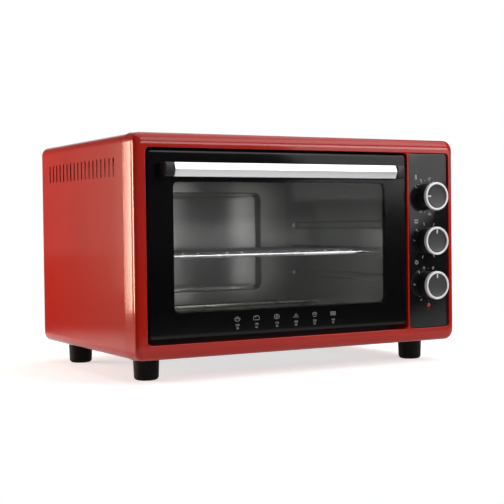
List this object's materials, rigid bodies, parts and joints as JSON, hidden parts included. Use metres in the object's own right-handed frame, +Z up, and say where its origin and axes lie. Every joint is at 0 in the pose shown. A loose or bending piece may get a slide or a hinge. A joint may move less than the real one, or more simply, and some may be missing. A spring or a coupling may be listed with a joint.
{
  "type": "electric oven",
  "caption": "Tabletop electric oven: red enamelled case, drop-down glass door with a bar handle, wire rack, two heating rods and a control panel with knobs.",
  "frame": {"origin": "Centre of the footprint on the floor, under the middle of the bounding box.", "axes": "+Z up, +X to the right as seen from the front, -Y is the front with the door and the knobs."},
  "size_m": [0.52, 0.3812, 0.329],
  "materials": {
    "red_paint": "glossy enamel, smooth",
    "front_steel": "dark, satin",
    "zinc_sheet": "zinc-plated sheet, matt sheen",
    "cavity_steel": "plain grey metal, soft reflections",
    "heater_sheath": "drawn steel tube, slightly oxidised",
    "chrome_wire": "bright plated wire",
    "ceramic": "cream, matt",
    "black_glass": "black printed border with a clear window",
    "clear_glass": "clear",
    "black_steel": "black, satin",
    "aluminium_bar": "satin anodised, faceted",
    "black_plastic": "black, fine satin",
    "dark_plastic": "dark grey, matt",
    "panel_gloss_black": "mirror gloss",
    "ring_chrome": "bright ring",
    "plated_steel": "zinc plated",
    "lamp_red": "translucent red, gloss",
    "copper": "bare copper, satin",
    "foot_rubber": "black, matt",
    "wire_jacket": "woven heat-proof sleeve"
  },
  "bodies": {
    "oven": {"front_frame": "red_paint", "outer_cover": "red_paint", "front_plate": "front_steel", "base_plate": "zinc_sheet", "back_panel": "zinc_sheet", "partition_wall": "zinc_sheet", "hinge_bracket_left": "zinc_sheet", "hinge_bracket_right": "zinc_sheet", "control_bracket": "zinc_sheet", "thermostat_body": "zinc_sheet", "timer_body": "zinc_sheet", "lower_heater_clip": "zinc_sheet", "upper_heater_clip": "zinc_sheet", "cavity_left_wall": "cavity_steel", "cavity_right_wall": "cavity_steel", "cavity_floor": "cavity_steel", "cavity_ceiling": "cavity_steel", "cavity_back_wall": "cavity_steel", "lower_heating_element": "heater_sheath", "upper_heating_element": "heater_sheath", "terminal_block": "ceramic", "cord_gland": "black_plastic", "selector_switch_body": "dark_plastic", "control_panel": "panel_gloss_black", "door_spring_left": "plated_steel", "door_spring_right": "plated_steel", "foot_screw_front_left": "plated_steel", "foot_screw_back_left": "plated_steel", "foot_screw_front_right": "plated_steel", "foot_screw_back_right": "plated_steel", "pilot_lamp": "lamp_red", "thermostat_bulb": "copper", "foot_front_left": "foot_rubber", "foot_back_left": "foot_rubber", "foot_front_right": "foot_rubber", "foot_back_right": "foot_rubber", "wiring_harness": "wire_jacket"},
    "door": {"door_glass": "black_glass", "door_frame": "black_steel", "door_inner_glass": "clear_glass", "glass_retainer": "zinc_sheet", "handle_bar": "aluminium_bar", "handle_bracket_left": "black_plastic", "handle_bracket_right": "black_plastic", "handle_screw_left": "plated_steel", "handle_screw_right": "plated_steel", "hinge_pin_left": "plated_steel", "hinge_pin_right": "plated_steel", "door_stay_left": "zinc_sheet", "door_stay_right": "zinc_sheet"},
    "rack": {"wire_rack": "chrome_wire"},
    "thermostat_dial": {"thermostat_knob": "black_plastic", "thermostat_knob_ring": "ring_chrome", "thermostat_shaft": "plated_steel"},
    "selector_dial": {"selector_knob": "black_plastic", "selector_knob_ring": "ring_chrome", "selector_shaft": "plated_steel"},
    "timer_dial": {"timer_knob": "black_plastic", "timer_knob_ring": "ring_chrome", "timer_shaft": "plated_steel"}
  },
  "joints": [
    {"name": "door_hinge", "type": "hinge", "parent": "oven", "child": "door", "pos_m": [-0.03465, -0.1586, 0.067], "axis": [1, 0, 0], "range_deg": [0, 90], "stiffness_Nm_per_rad": 0.8, "springref_deg": -28.65},
    {"name": "rack_slide", "type": "slide", "parent": "oven", "child": "rack", "axis": [0, -1, 0], "range_m": [0, 0.158]},
    {"name": "thermostat_turn", "type": "hinge", "parent": "oven", "child": "thermostat_dial", "pos_m": [0.21155, -0.1681, 0.2445], "axis": [0, 1, 0], "range_deg": [0, 270]},
    {"name": "selector_turn", "type": "hinge", "parent": "oven", "child": "selector_dial", "pos_m": [0.21155, -0.1681, 0.1795], "axis": [0, 1, 0], "range_deg": [0, 315]},
    {"name": "timer_turn", "type": "hinge", "parent": "oven", "child": "timer_dial", "pos_m": [0.21155, -0.1681, 0.1145], "axis": [0, 1, 0], "range_deg": [0, 300]}
  ],
  "couplings": [
    {"joint": "rack_slide", "follows": "door_hinge", "m_per_rad": 0.1}
  ]
}
